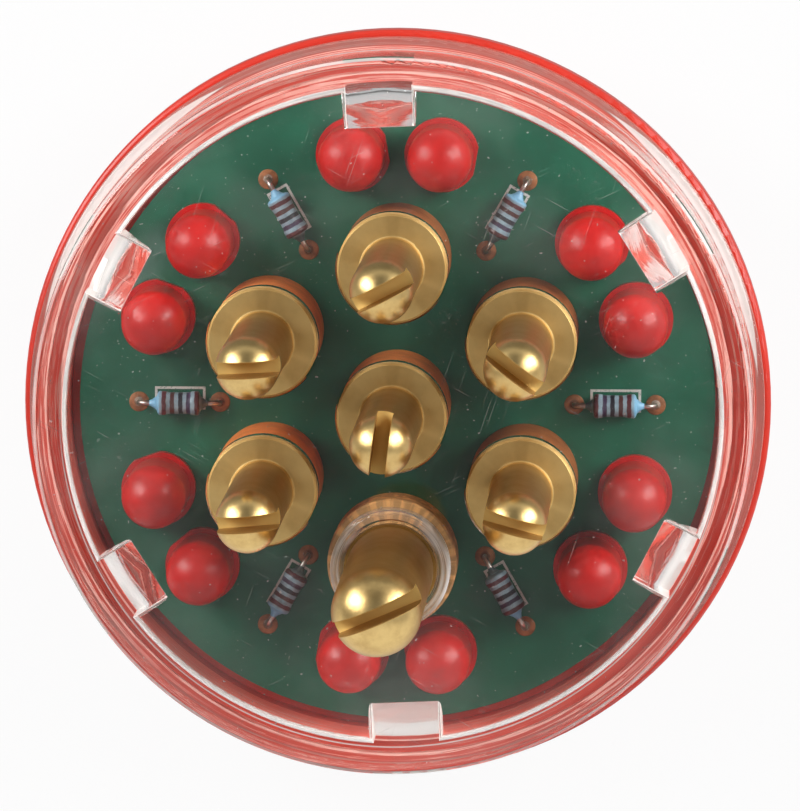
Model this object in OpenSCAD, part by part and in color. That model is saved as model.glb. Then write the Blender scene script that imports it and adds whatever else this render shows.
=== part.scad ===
// Seven-pin cable tester: a round hand-held puck. A red base holds a circuit board with six
// lamp pairs and their resistors, a clear cover closes it, and seven slotted brass pins stand out.
// Millimetres, +Z along the pins, origin at the centre of the base's underside.
// The sizes build on each other from the pin circle outwards and from the base floor upwards.

/* [Contact pins] */
// Diameter of the circle that the six outer pins stand on
pin_circle_d = 23; // [20:0.1:32]
// Diameter of the six small contact pins
pin_d = 4.75; // [3:0.05:6]
// Length of a small pin from its shoulder to its tip
pin_len = 21.3; // [12:0.1:30]
// Diameter of the shoulder under a small pin
shoulder_d = 8.45; // [7:0.05:11]
// Diameter of the ground pin
ground_d = 6.7; // [5:0.05:8.2]
// Length of the ground pin from the top of its collar to its tip
ground_len = 27.2; // [16:0.1:38]
// Diameter of the ground pin's flange under the plate
ground_flange_d = 10; // [9:0.05:12]
// Thickness of that flange
ground_flange_t = 4.6; // [1:0.1:7]
// Diameter of the ground pin between its flange and the board
ground_body_d = 8.4; // [7.5:0.1:9]
// How much wider the ground pin's root is than its contact length
ground_root_step = 0.4; // [0.1:0.05:0.6]
// Width of the saw slot across each pin's tip
slot_w = 1.2; // [0.6:0.05:1.5]
// Depth of a small pin's saw slot from its tip
slot_depth = 4.4; // [2.5:0.1:14]
// Depth of the ground pin's saw slot from its tip
ground_slot_depth = 5.2; // [2.5:0.1:18]
// Fillet where a small pin meets its shoulder
root_r = 0.2; // [0.1:0.05:0.8]
// Chamfer on the edge of a shoulder
shoulder_chamfer = 0.15; // [0.1:0.05:0.5]
// Diameter of the pin tail that goes through the board
tail_d = 3.2; // [2:0.1:4]
// Length of the pin tail under the board
tail_len = 2.4; // [1.6:0.1:5]

/* [Lamps] */
// Diameter of a lamp's round body
led_d = 5; // [3:0.1:6]
// Height of a lamp from the board to the top of its dome
led_h = 8.6; // [6:0.1:12]
// How far the lamp's foot ring stands out past its body
led_lip = 0.4; // [0.2:0.05:0.8]
// Height of the lamp's foot ring
led_lip_h = 1; // [0.6:0.1:2]
// Free gap between the two lamps of a pair
led_gap = 1.1; // [0.4:0.1:4]
// Free gap from the widest pin shoulder to the line of a lamp pair
led_clear = 0.125; // [0.1:0.025:6]
// Distance between the two leads of a lamp
led_lead_pitch = 2.54; // [1.5:0.01:3]
// Width of a lamp's square leads
led_lead_w = 0.5; // [0.3:0.05:0.6]

/* [Resistors] */
// Length of a resistor body
resistor_l = 3.5; // [2.4:0.1:5]
// Diameter of a resistor's end caps
resistor_d = 1.9; // [1.2:0.1:3]
// Diameter of a resistor between its end caps
resistor_waist_d = 1.65; // [1:0.05:2.4]
// Length of one end cap
resistor_cap_l = 0.9; // [0.4:0.1:1.2]
// Distance between the two holes of a resistor
resistor_pitch = 6.35; // [5.5:0.05:8]
// How far the middle of a resistor lies inside the lamp ring
resistor_inset = 2.8; // [2:0.1:4]
// Diameter of a resistor's leads
resistor_lead_d = 0.4; // [0.3:0.05:0.6]
// Bend radius of a resistor's leads
lead_bend_r = 0.6; // [0.4:0.05:0.9]

/* [Circuit board] */
// Width of the board outside the lamps' foot rings
board_margin = 2.13; // [1:0.01:5]
// Thickness of the board
board_t = 1.6; // [0.8:0.1:3.2]
// Thickness of the copper under the board
copper_t = 0.1; // [0.05:0.05:0.2]
// Width of the copper tracks
track_w = 1; // [0.5:0.1:1.2]
// Diameter of the holes for lamp and resistor leads
lead_hole_d = 0.9; // [0.85:0.05:1.2]
// Diameter of the copper pads round those holes
lead_pad_d = 1.9; // [1.5:0.1:2.1]
// Width of the copper ring round a pin tail
pin_pad_w = 1.6; // [0.8:0.1:2]
// Length of the leads under the copper
lead_tail = 1.4; // [0.8:0.1:2]
// Height of the solder round a lead
solder_h = 1.1; // [0.5:0.1:1.4]
// Height of the solder round a pin tail
pin_solder_h = 1.5; // [0.8:0.1:2]

/* [Cover] */
// Thickness of the clear front plate
plate_t = 2; // [1.2:0.1:4]
// Thickness of the clear side wall
cover_wall = 2.2; // [1.8:0.1:4]
// Radius of the wall's rounded top edge
cover_edge_r = 0.6; // [0.3:0.05:1]
// Fillet between the wall and the underside of the plate
cover_fillet = 0.5; // [0.2:0.1:1.5]
// How far the flange at the foot of the wall stands out
flange_w = 0.95; // [0.5:0.05:2]
// Thickness of that flange
flange_t = 1.4; // [1:0.1:3]
// Rounded edge of that flange
flange_edge_r = 0.3; // [0.1:0.05:0.45]
// Fillet between that flange and the wall
flange_fillet = 0.65; // [0.2:0.05:1.5]
// Width of the six gussets between plate and wall
gusset_w = 5.1; // [3:0.1:6]
// Angle from the upright of a gusset's face at the plate, in degrees
gusset_lean = 22; // [10:0.5:40]
// Angle from the upright of a gusset's face at the wall, in degrees
gusset_end_lean = 50; // [42:1:75]
// Share of a gusset's reach in which its face is flat, before it curves
gusset_flat_share = 0.5; // [0.1:0.05:0.7]
// Fillet between a gusset's sides and the plate
gusset_fillet = 0.35; // [0.1:0.05:0.6]
// Turn of the gussets from the middle of the lamp pairs, in degrees
gusset_turn = 2.6; // [0:0.1:4]
// Width of the tongue under the wall that sits in the base
tongue_w = 1; // [0.6:0.1:1.6]
// Height of that tongue
tongue_h = 1.4; // [0.8:0.1:2.5]
// Wall of the collar round the ground pin
collar_wall = 1; // [0.8:0.05:1.6]
// Rounding of the collar's upper edge, and chamfer of its bore
collar_edge = 0.35; // [0.1:0.05:0.5]
// Height of the collar above the plate
collar_h = 2.4; // [0.5:0.1:5]

/* [Base] */
// Thickness of the base floor
floor_t = 2; // [1.2:0.1:4]
// Free height between the pin tails and the floor
tail_gap = 2.1; // [1:0.1:6]
// Width of the ledge that carries the board
ledge_w = 1.6; // [0.8:0.1:2]
// How far the red rim shows past the cover's flange
rim_show = 0.5; // [0.3:0.05:2]
// Height of the straight band at the rim
rim_h = 2.6; // [1.5:0.1:5]
// Rounding of the rim's upper edge
rim_edge_r = 0.45; // [0.2:0.05:1]
// How far the body under the rim band is set back
rim_step = 0.3; // [0.1:0.05:0.6]
// How far the foot is drawn in from the rim
foot_inset = 1.3; // [0.5:0.1:3]
// Chamfer round the foot
foot_chamfer = 0.8; // [0.3:0.1:1.5]

/* [Clearances] */
// Gap round the board in its pocket
board_gap = 0.7; // [0.1:0.05:1.2]
// Height of the seam between base and cover above the board
seam_rise = 0.5; // [0.2:0.1:2]
// Gap between the lamp tops and the plate
headroom = 0.6; // [0.2:0.1:4]
// Gap between a lamp's round body and the gusset beside it
gusset_clear = 0.1; // [0.05:0.05:1]
// Gap round a shoulder in the plate and under the plate
plate_gap = 0.12; // [0.05:0.01:0.3]
// How far the shoulders stand proud of the plate
shoulder_proud = 0.3; // [0.1:0.05:1]
// Gap round the ground pin's root in its collar
collar_gap = 0.06; // [0.03:0.01:0.2]
// Gap round a pin tail in the board
tail_fit = 0.05; // [0.02:0.01:0.15]
// Gap round the tongue in its groove
tongue_gap = 0.1; // [0.05:0.01:0.2]
// Thickness of the glue line between the rim and the cover's foot
glue_gap = 0.02; // [0.01:0.01:0.1]
// Gap between the solder and what it is round
solder_gap = 0.01; // [0.01:0.01:0.03]
// Gap between a resistor and the board
resistor_lift = 0.1; // [0.05:0.05:0.5]
// Gap between the ground ring of copper and the ledge
ring_gap = 0.3; // [0.2:0.05:0.6]

/* [Hidden] */
$fn = 96;
eps = 0.01;

// The six places round the axis, counter-clockwise from the top of the plate
places = [0 : 5];
ground_place = 3;
small_pin_names = ["pin_top", "pin_upper_left", "pin_lower_left", "pin_lower_right", "pin_upper_right"];
small_pin_places = [0, 1, 2, 4, 5];
// The direction of each saw slot, in degrees from +X
small_slot_turns = [27, 3, 5, -15, -37];
center_slot_turn = 83;
ground_slot_turn = 23;

// Radii, from the axis outwards
pin_circle_r = pin_circle_d / 2;
led_foot_d = led_d + 2 * led_lip;
led_pitch = led_foot_d + led_gap;
led_row_r = pin_circle_r + max(shoulder_d, ground_flange_d) / 2 + led_clear + led_foot_d / 2;
led_ring_r = sqrt(led_row_r * led_row_r + led_pitch * led_pitch / 4);
led_half_turn = asin(led_pitch / 2 / led_ring_r);
led_lead_r = sqrt(led_ring_r * led_ring_r + led_lead_pitch * led_lead_pitch / 4);
led_lead_turn = asin(led_lead_pitch / 2 / led_lead_r);
resistor_mid_r = led_ring_r - resistor_inset;
resistor_in_r = resistor_mid_r - resistor_pitch / 2;
resistor_out_r = resistor_mid_r + resistor_pitch / 2;
gusset_in_r = led_row_r * cos(gusset_turn) + led_pitch / 2 * sin(gusset_turn) + led_d / 2 + gusset_clear;
board_r = led_ring_r + led_foot_d / 2 + board_margin;
ledge_r = board_r - ledge_w;
ground_ring_r = ledge_r - ring_gap;
cavity_r = board_r + board_gap;
cover_r = cavity_r + cover_wall;
flange_r = cover_r + flange_w;
base_r = flange_r + rim_show;
tongue_in_r = cavity_r + (cover_wall - tongue_w) / 2;
ground_root_d = ground_d + ground_root_step;
collar_in_d = ground_root_d + 2 * collar_gap;
collar_out_d = collar_in_d + 2 * collar_wall;

// Heights, from the base floor upwards
z_board = floor_t + tail_gap + tail_len;
z_top = z_board + board_t;
z_seam = z_top + seam_rise;
z_foot = z_seam + glue_gap;
z_flange = z_foot + flange_t;
z_plate = z_top + led_h + headroom;
z_face = z_plate + plate_t;
z_shoulder = z_face + shoulder_proud;
z_collar = z_face + collar_h;
z_copper = z_board - copper_t;
z_lead_end = z_copper - lead_tail;

// Angle of a place: the middle of its lamp pair, and of the pin that stands inside it
function place_turn(k) = 90 + 60 * k;
// Angle of the resistor that feeds the lamp pair of a place
function resistor_turn(k) = place_turn(k) + 30;
// Angle of lamp 1 to 12: odd ones lead their pair counter-clockwise, even ones follow
function lamp_turn(i) = place_turn(floor((i - 1) / 2)) + (i % 2 == 1 ? led_half_turn : -led_half_turn);

module at_turn(turn, r) {
    rotate(turn) translate([r, 0, 0]) children();
}

module at_small_pins() {
    children();
    for (k = small_pin_places) at_turn(place_turn(k), pin_circle_r) children();
}

module at_ground_pin() {
    at_turn(place_turn(ground_place), pin_circle_r) children();
}

module at_pins() {
    at_small_pins() children();
    at_ground_pin() children();
}

// Every lamp lead, in the lamp's own frame: +X away from the axis, +Y counter-clockwise
module at_lamp_leads() {
    for (i = [1 : 12], side = [-1, 1])
        at_turn(lamp_turn(i), led_ring_r) translate([0, side * led_lead_pitch / 2, 0]) children();
}

module at_resistor_holes() {
    for (k = places, r = [resistor_in_r, resistor_out_r]) at_turn(resistor_turn(k), r) children();
}

// A ring's cross-section with its upper outer corner rounded
module rounded_section(r_in, r_out, z_low, z_high, corner_r) {
    translate([r_in, z_low]) square([r_out - r_in, z_high - corner_r - z_low]);
    translate([r_in, z_low]) square([r_out - corner_r - r_in, z_high - z_low]);
    translate([r_out - corner_r, z_high - corner_r]) circle(corner_r);
}

module tube(d_in, d_out, h) {
    difference() {
        cylinder(d = d_out, h = h);
        translate([0, 0, -eps]) cylinder(d = d_in, h = h + 2 * eps);
    }
}

// The red housing: floor, ledge for the board, groove for the cover's tongue, rim band
module base() {
    foot_r = base_r - foot_inset;
    z_band = z_seam - rim_h;
    color("firebrick") difference() {
        union() {
            cylinder(r1 = foot_r - foot_chamfer, r2 = foot_r, h = foot_chamfer);
            translate([0, 0, foot_chamfer])
                cylinder(r1 = foot_r, r2 = base_r - rim_step, h = z_band - foot_chamfer);
            rotate_extrude() rounded_section(0, base_r, z_band, z_seam, rim_edge_r);
        }
        translate([0, 0, floor_t]) cylinder(r = ledge_r, h = z_seam);
        translate([0, 0, z_board]) cylinder(r = cavity_r, h = z_seam);
        translate([0, 0, z_seam - tongue_h - tongue_gap])
            tube(2 * (tongue_in_r - tongue_gap), 2 * (tongue_in_r + tongue_w + tongue_gap), z_seam);
    }
}

// The revolved part of the clear cover: plate, wall, flange, tongue and inner fillet
module cover_shell() {
    rotate_extrude() {
        translate([0, z_plate]) square([cavity_r + eps, plate_t]);
        rounded_section(cavity_r, cover_r, z_foot, z_face, cover_edge_r);
        rounded_section(cavity_r, flange_r, z_foot, z_flange, flange_edge_r);
        translate([tongue_in_r, z_foot - tongue_h]) square([tongue_w, tongue_h + eps]);
        difference() {
            translate([cavity_r - cover_fillet, z_plate - cover_fillet]) square(cover_fillet + eps);
            translate([cavity_r - cover_fillet, z_plate - cover_fillet]) circle(cover_fillet);
        }
        difference() {
            translate([cover_r - eps, z_flange - eps]) square(flange_fillet + eps);
            translate([cover_r + flange_fillet, z_flange + flange_fillet]) circle(flange_fillet);
        }
    }
}

// A gusset seen from its side, as radius and height: its face leans out flat, then curves on to the wall
module gusset_side() {
    flat_w = gusset_flat_share * (cavity_r - gusset_in_r);
    face_r = (cavity_r - gusset_in_r - flat_w) / (cos(gusset_lean) - cos(gusset_end_lean));
    in_r = gusset_in_r + flat_w;
    out_r = cavity_r + cover_wall / 2;
    z_curve = z_plate - flat_w / tan(gusset_lean);
    polygon([
        [gusset_in_r, z_plate], [in_r, z_curve], [out_r, z_curve], [out_r, z_face], [gusset_in_r, z_face]
    ]);
    intersection() {
        translate([in_r, z_foot]) square([out_r - in_r, z_curve + eps - z_foot]);
        translate([in_r + face_r * cos(gusset_lean), z_curve + face_r * sin(gusset_lean)]) circle(face_r);
    }
}

// A gusset seen along the radius: a bar under the plate, with a fillet on both sides
module gusset_section() {
    bar_h = z_plate - z_foot;
    translate([-gusset_w / 2, -bar_h]) square([gusset_w, bar_h + eps]);
    difference() {
        translate([-gusset_w / 2 - gusset_fillet, -gusset_fillet])
            square([gusset_w + 2 * gusset_fillet, gusset_fillet + eps]);
        for (side = [-1, 1])
            translate([side * (gusset_w / 2 + gusset_fillet), -gusset_fillet]) circle(gusset_fillet);
    }
}

// One gusset: what its two views have in common, up to the middle of the wall
module cover_gusset() {
    intersection() {
        translate([0, 0, z_plate]) rotate([90, 0, 90]) linear_extrude(cover_r) gusset_section();
        rotate([90, 0, 0]) linear_extrude(2 * gusset_w, center = true) gusset_side();
        cylinder(r = cavity_r + cover_wall / 2, h = z_face);
    }
}

// The clear housing: it leaves the shoulders free and carries a collar round the ground pin
module cover() {
    color("lightcyan", 0.4) difference() {
        union() {
            cover_shell();
            for (k = places) rotate(place_turn(k) + gusset_turn) cover_gusset();
            at_ground_pin() rotate_extrude()
                rounded_section(0, collar_out_d / 2, z_face - eps, z_collar, collar_edge);
        }
        at_small_pins() translate([0, 0, z_plate - eps])
            cylinder(d = shoulder_d + 2 * plate_gap, h = plate_t + 2 * eps);
        at_ground_pin() translate([0, 0, z_plate - eps])
            cylinder(d = collar_in_d, h = plate_t + collar_h + 2 * eps);
        at_ground_pin() translate([0, 0, z_collar - collar_edge])
            cylinder(d1 = collar_in_d - eps, d2 = collar_in_d + 2 * collar_edge, h = collar_edge + eps);
    }
}

// The round board with a hole for every pin tail and lead
module circuit_board() {
    color("darkgreen") difference() {
        translate([0, 0, z_board]) cylinder(r = board_r, h = board_t);
        at_pins() translate([0, 0, z_board - eps]) cylinder(d = tail_d + 2 * tail_fit, h = board_t + 2 * eps);
        at_lamp_leads() translate([0, 0, z_board - eps]) cylinder(d = lead_hole_d, h = board_t + 2 * eps);
        at_resistor_holes() translate([0, 0, z_board - eps]) cylinder(d = lead_hole_d, h = board_t + 2 * eps);
    }
}

// A straight track between two points given as [angle, radius]
module track(from, to) {
    a = from[1] * [cos(from[0]), sin(from[0])];
    b = to[1] * [cos(to[0]), sin(to[0])];
    run = b - a;
    translate([a.x, a.y, 0]) rotate(atan2(run.y, run.x))
        translate([0, -track_w / 2, 0]) cube([norm(run), track_w, copper_t]);
}

// A curved track along the lamp ring, from one angle counter-clockwise to another
module ring_track(r, from, to) {
    rotate(from) rotate_extrude(angle = to - from)
        translate([r - track_w / 2, 0]) square([track_w, copper_t]);
}

// Copper under the board. In each circuit the current runs from the pin through the resistor and
// both lamps of the pair to the ring round the edge, which the ground pin feeds.
module copper_tracks() {
    lead_in = led_half_turn + led_lead_turn;
    lead_out = led_half_turn - led_lead_turn;
    color("peru") translate([0, 0, z_copper]) difference() {
        union() {
            at_pins() cylinder(d = tail_d + 2 * tail_fit + 2 * pin_pad_w, h = copper_t);
            at_lamp_leads() cylinder(d = lead_pad_d, h = copper_t);
            at_resistor_holes() cylinder(d = lead_pad_d, h = copper_t);
            tube(2 * (ground_ring_r - track_w), 2 * ground_ring_r, copper_t);
            for (k = places) {
                turn = place_turn(k);
                pin_r = k == ground_place ? 0 : pin_circle_r;
                track([turn, pin_r], [resistor_turn(k), resistor_in_r]);
                track([resistor_turn(k), led_lead_r], [resistor_turn(k), resistor_out_r]);
                ring_track(led_lead_r, turn + lead_in, resistor_turn(k));
                ring_track(led_lead_r, turn - lead_out, turn + lead_out);
                track([turn - lead_in, led_lead_r], [turn - lead_in, ground_ring_r - track_w / 2]);
            }
            track([place_turn(ground_place), pin_circle_r], [place_turn(ground_place) - lead_in, led_lead_r]);
        }
        at_pins() translate([0, 0, -eps]) cylinder(d = tail_d + 2 * tail_fit, h = copper_t + 2 * eps);
        at_lamp_leads() translate([0, 0, -eps]) cylinder(d = lead_hole_d, h = copper_t + 2 * eps);
        at_resistor_holes() translate([0, 0, -eps]) cylinder(d = lead_hole_d, h = copper_t + 2 * eps);
    }
}

// One cone of solder that hangs under the copper
module solder_cone(foot_d, tip_d, h) {
    translate([0, 0, z_copper - h]) cylinder(d1 = tip_d, d2 = foot_d, h = h);
}

// Solder round every lead and pin tail under the board
module solder_joints() {
    round_bore_d = resistor_lead_d + 2 * solder_gap;
    square_bore_w = led_lead_w + 2 * solder_gap;
    tail_bore_d = tail_d + 2 * solder_gap;
    color("silver") {
        at_lamp_leads() difference() {
            solder_cone(lead_pad_d, 2 * square_bore_w, solder_h);
            translate([-square_bore_w / 2, -square_bore_w / 2, 0])
                cube([square_bore_w, square_bore_w, z_top]);
        }
        at_resistor_holes() difference() {
            solder_cone(lead_pad_d, 2 * round_bore_d, solder_h);
            cylinder(d = round_bore_d, h = z_top);
        }
        at_pins() difference() {
            solder_cone(tail_d + 2 * pin_pad_w, tail_d + pin_pad_w / 2, pin_solder_h);
            cylinder(d = tail_bore_d, h = z_top);
        }
    }
}

// The square leads of all lamps, from the lamps' feet through the board
module lamp_leads() {
    color("gainsboro") at_lamp_leads()
        translate([-led_lead_w / 2, -led_lead_w / 2, z_lead_end])
            cube([led_lead_w, led_lead_w, z_top - z_lead_end]);
}

// Half of a resistor's lead, on the +X side: out of the end cap, round the bend and down
module resistor_lead() {
    z_axis = z_top + resistor_lift + resistor_d / 2;
    run_end = resistor_pitch / 2 - lead_bend_r;
    translate([resistor_l / 2, 0, z_axis]) rotate([0, 90, 0])
        cylinder(d = resistor_lead_d, h = run_end - resistor_l / 2);
    translate([run_end, 0, z_axis - lead_bend_r]) rotate([90, 0, 0])
        rotate_extrude(angle = 90) translate([lead_bend_r, 0]) circle(d = resistor_lead_d);
    translate([resistor_pitch / 2, 0, z_lead_end])
        cylinder(d = resistor_lead_d, h = z_axis - lead_bend_r - z_lead_end);
}

module resistor_leads() {
    color("gainsboro") for (k = places, side = [0, 180])
        at_turn(resistor_turn(k), resistor_mid_r) rotate(side) resistor_lead();
}

// A resistor body with its two end caps, lying along the radius
module resistor(k) {
    z_axis = z_top + resistor_lift + resistor_d / 2;
    color("lightskyblue") at_turn(resistor_turn(k), resistor_mid_r)
        translate([-resistor_l / 2, 0, z_axis]) rotate([0, 90, 0]) {
            cylinder(d = resistor_waist_d, h = resistor_l);
            cylinder(d = resistor_d, h = resistor_cap_l);
            translate([0, 0, resistor_l - resistor_cap_l]) cylinder(d = resistor_d, h = resistor_cap_l);
        }
}

// A lamp: round body with a domed end, on a foot ring with a flat on its clockwise side
module lamp(i) {
    color("red") at_turn(lamp_turn(i), led_ring_r) translate([0, 0, z_top]) {
        cylinder(d = led_d, h = led_h - led_d / 2);
        translate([0, 0, led_h - led_d / 2]) sphere(d = led_d);
        difference() {
            cylinder(d = led_foot_d, h = led_lip_h);
            translate([-led_foot_d, -led_d / 2 - led_lip / 2 - led_foot_d, -eps])
                cube([2 * led_foot_d, led_foot_d, led_lip_h + 2 * eps]);
        }
    }
}

// The part of a pin above z_low: a shaft with a domed tip at z_tip and a saw slot across it
module slotted_shaft(d, z_low, z_tip, depth, slot_turn) {
    difference() {
        union() {
            translate([0, 0, z_low]) cylinder(d = d, h = z_tip - d / 2 - z_low);
            translate([0, 0, z_tip - d / 2]) sphere(d = d);
        }
        rotate(slot_turn) translate([-d, -slot_w / 2, z_tip - depth])
            cube([2 * d, slot_w, depth + d]);
    }
}

// The part of a pin between the board and z_high, with the tail below it
module shoulder_and_tail(d, z_high) {
    translate([0, 0, z_board - tail_len]) cylinder(d = tail_d, h = tail_len + board_t + eps);
    translate([0, 0, z_top]) cylinder(d = d, h = z_high - shoulder_chamfer - z_top);
    translate([0, 0, z_high - shoulder_chamfer])
        cylinder(d1 = d, d2 = d - 2 * shoulder_chamfer, h = shoulder_chamfer);
}

// A small contact pin: its shoulder comes up through the plate
module small_pin(slot_turn) {
    color("goldenrod") {
        shoulder_and_tail(shoulder_d, z_shoulder);
        slotted_shaft(pin_d, z_shoulder - eps, z_shoulder + pin_len, slot_depth, slot_turn);
        rotate_extrude() difference() {
            translate([0, z_shoulder - eps]) square([pin_d / 2 + root_r, root_r + eps]);
            translate([pin_d / 2 + root_r, z_shoulder + root_r]) circle(root_r);
        }
    }
}

// The ground pin: thicker and longer, with a flange that stays under the plate
module ground_pin() {
    z_high = z_plate - plate_gap;
    z_edge = z_high - shoulder_chamfer;
    color("goldenrod") at_ground_pin() {
        shoulder_and_tail(ground_body_d, z_edge);
        translate([0, 0, z_high - ground_flange_t])
            cylinder(d = ground_flange_d, h = ground_flange_t - shoulder_chamfer);
        translate([0, 0, z_edge])
            cylinder(d1 = ground_flange_d, d2 = ground_flange_d - 2 * shoulder_chamfer, h = shoulder_chamfer);
        translate([0, 0, z_high - eps]) cylinder(d = ground_root_d, h = z_collar - z_high + eps);
        slotted_shaft(ground_d, z_collar - eps, z_collar + ground_len, ground_slot_depth,
                      ground_slot_turn - place_turn(ground_place));
    }
}

base();
cover();
circuit_board();
copper_tracks();
solder_joints();
lamp_leads();
resistor_leads();
for (i = [0 : 4]) at_turn(place_turn(small_pin_places[i]), pin_circle_r)
        small_pin(small_slot_turns[i] - place_turn(small_pin_places[i]));
small_pin(center_slot_turn);  // pin_center
ground_pin();
for (i = [1 : 12]) lamp(i);
for (i = [1 : 6]) resistor(i - 1);
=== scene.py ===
"""Looks of a round seven-pin cable tester: clear cover, brass pins, red lamps, green board, red base."""

import math

import bpy
import numpy as np
from bpy.props import FloatProperty, FloatVectorProperty, PointerProperty
from mathutils import Matrix, Vector


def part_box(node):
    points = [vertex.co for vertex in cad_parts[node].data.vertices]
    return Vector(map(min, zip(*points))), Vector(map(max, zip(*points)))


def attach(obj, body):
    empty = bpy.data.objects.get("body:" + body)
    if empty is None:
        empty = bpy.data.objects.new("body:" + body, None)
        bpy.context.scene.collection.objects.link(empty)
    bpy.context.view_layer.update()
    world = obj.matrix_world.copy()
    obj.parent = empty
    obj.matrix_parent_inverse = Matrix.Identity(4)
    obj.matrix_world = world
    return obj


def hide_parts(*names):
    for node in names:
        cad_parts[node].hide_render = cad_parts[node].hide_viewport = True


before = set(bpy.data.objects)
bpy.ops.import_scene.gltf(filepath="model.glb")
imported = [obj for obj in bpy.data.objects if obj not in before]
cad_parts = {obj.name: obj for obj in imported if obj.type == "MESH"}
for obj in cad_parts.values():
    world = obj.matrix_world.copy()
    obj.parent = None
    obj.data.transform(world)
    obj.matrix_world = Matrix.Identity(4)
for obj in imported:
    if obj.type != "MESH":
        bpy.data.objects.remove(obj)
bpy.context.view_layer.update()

bl_info = {
    "name": "Cable tester looks",
    "version": (1, 0, 0),
    "blender": (4, 5, 0),
    "location": "3D view > Sidebar > Tester",
    "description": "Finishes and small pieces of a seven-pin cable tester",
    "category": "Object",
}

MM = 0.001
BODY = "root"
# Radius that stands for a point on the axis, so that no face has two equal corners, in metres
ON_AXIS = 1e-6
# Turn of each pin's saw slot from +X in degrees, and its depth from the tip in millimetres
SLOTS = {
    "pin_top": (27, 4.4),
    "pin_upper_left": (3, 4.4),
    "pin_lower_left": (5, 4.4),
    "pin_lower_right": (-15, 4.4),
    "pin_upper_right": (-37, 4.4),
    "pin_center": (83, 4.4),
    "ground_pin": (23, 5.2),
}
SLOT_WIDTH = 1.2
LAMPS = ["lamp_%d" % i for i in range(1, 13)]
RESISTORS = ["resistor_%d" % i for i in range(1, 7)]

# Heights and radii of the frame that the finishes refer to, in millimetres
COLLAR_HEIGHT = 2.4
PLATE_THICKNESS = 2.0
WALL_THICKNESS = 2.2
FLANGE_WIDTH = 0.95
SHOULDER_PROUD = 0.3
BOARD_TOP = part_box("circuit_board")[1].z / MM
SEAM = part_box("base")[1].z / MM
PLATE_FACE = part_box("cover")[1].z / MM - COLLAR_HEIGHT
PLATE_UNDER = PLATE_FACE - PLATE_THICKNESS
FLANGE_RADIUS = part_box("cover")[1].x / MM
COVER_RADIUS = FLANGE_RADIUS - FLANGE_WIDTH
CAVITY_RADIUS = COVER_RADIUS - WALL_THICKNESS
GUSSET_WIDTH = 5.1
GUSSET_DEPTH = 3.3
GUSSET_INNER = CAVITY_RADIUS - GUSSET_DEPTH
GUSSET_TURN = math.radians(32.6)
COLLAR_RADIUS = 4.6
SIXTH = math.pi / 3


def box_middle(node):
    """Middle of a node's box, in metres."""
    low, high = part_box(node)
    return (low + high) / 2


class BaseSettings(bpy.types.PropertyGroup):
    """Finish of the red base."""

    colour: FloatVectorProperty(
        name="Red", description="Colour of the moulded base", subtype="COLOR", size=3,
        default=(0.76, 0.04, 0.02))
    scuff: FloatVectorProperty(
        name="Scuffs", description="Colour of the scuffed places", subtype="COLOR", size=3,
        default=(0.7, 0.3, 0.25))
    roughness: FloatProperty(
        name="Roughness", description="Mean roughness of the base", subtype="FACTOR", default=0.34)


class CoverSettings(bpy.types.PropertyGroup):
    """Finish of the clear cover."""

    tint: FloatVectorProperty(
        name="Tint", description="Tint of the clear plastic", subtype="COLOR", size=3,
        default=(0.98, 0.985, 0.98))
    ior: FloatProperty(name="Refraction", description="Refractive index of the plastic", default=1.5)
    glue: FloatVectorProperty(
        name="Glue", description="Colour of the red seam seen through the glue", subtype="COLOR", size=3,
        default=(0.5, 0.065, 0.042))
    bubble: FloatVectorProperty(
        name="Bubbles", description="Colour of the pale streaks in the glue", subtype="COLOR", size=3,
        default=(0.8, 0.5, 0.43))
    corner: FloatVectorProperty(
        name="Corner", description="Colour of the seam under the flange", subtype="COLOR", size=3,
        default=(0.3, 0.14, 0.12))
    # Colour of real dust and scratches, also used for the painted highlights and painted reflections on the
    # cover
    dust_and_highlight: FloatVectorProperty(
        name="Dust", description="Colour of dust and scratches", subtype="COLOR", size=3,
        default=(0.9, 0.865, 0.83))
    wear: FloatProperty(
        name="Wear", description="Strength of scratches and specks on the plate", subtype="FACTOR",
        default=0.4)
    # Strength of the smudges on the plate, which are partly a painted reflection veil
    haze: FloatProperty(
        name="Haze", description="Strength of the smudges on the plate", subtype="FACTOR", default=0.07)
    # Strength of the painted highlights and painted reflections: pale edge lines, gusset sides and ends,
    # collar streaks, flange glints and the near wall's haze
    edges: FloatProperty(
        name="Edges", description="Strength of the pale edges", subtype="FACTOR", default=0.8)
    crease: FloatProperty(
        name="Crease", description="How sharply each gusset's face is creased along its middle",
        default=0.056)


class BoardSettings(bpy.types.PropertyGroup):
    """Finish of the circuit board and size of its upper pads."""

    lacquer: FloatVectorProperty(
        name="Lacquer", description="Colour of the board's lacquer", subtype="COLOR", size=3,
        default=(0.012, 0.13, 0.072))
    legend: FloatVectorProperty(
        name="Legend", description="Colour of the printed frames", subtype="COLOR", size=3,
        default=(0.7, 0.66, 0.63))
    copper: FloatVectorProperty(
        name="Copper", description="Colour of the bare copper", subtype="COLOR", size=3,
        default=(0.34, 0.13, 0.045))
    frame_length: FloatProperty(
        name="Frame length", description="Length of a printed frame, from line to line", unit="LENGTH",
        default=3.76 * MM)
    frame_width: FloatProperty(
        name="Frame width", description="Width of a printed frame, from line to line", unit="LENGTH",
        default=1.6 * MM)
    line: FloatProperty(
        name="Line", description="Width of a printed line", unit="LENGTH", default=0.2 * MM)
    pad_radius: FloatProperty(
        name="Pad radius", description="Outer radius of a pad on top of the board", unit="LENGTH",
        default=0.79 * MM)
    pad_height: FloatProperty(
        name="Pad height", description="Height of a pad above the board", unit="LENGTH", default=0.05 * MM)
    fill_radius: FloatProperty(
        name="Fill radius", description="Radius of the solder that fills a lead hole", unit="LENGTH",
        default=0.36 * MM)


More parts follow.
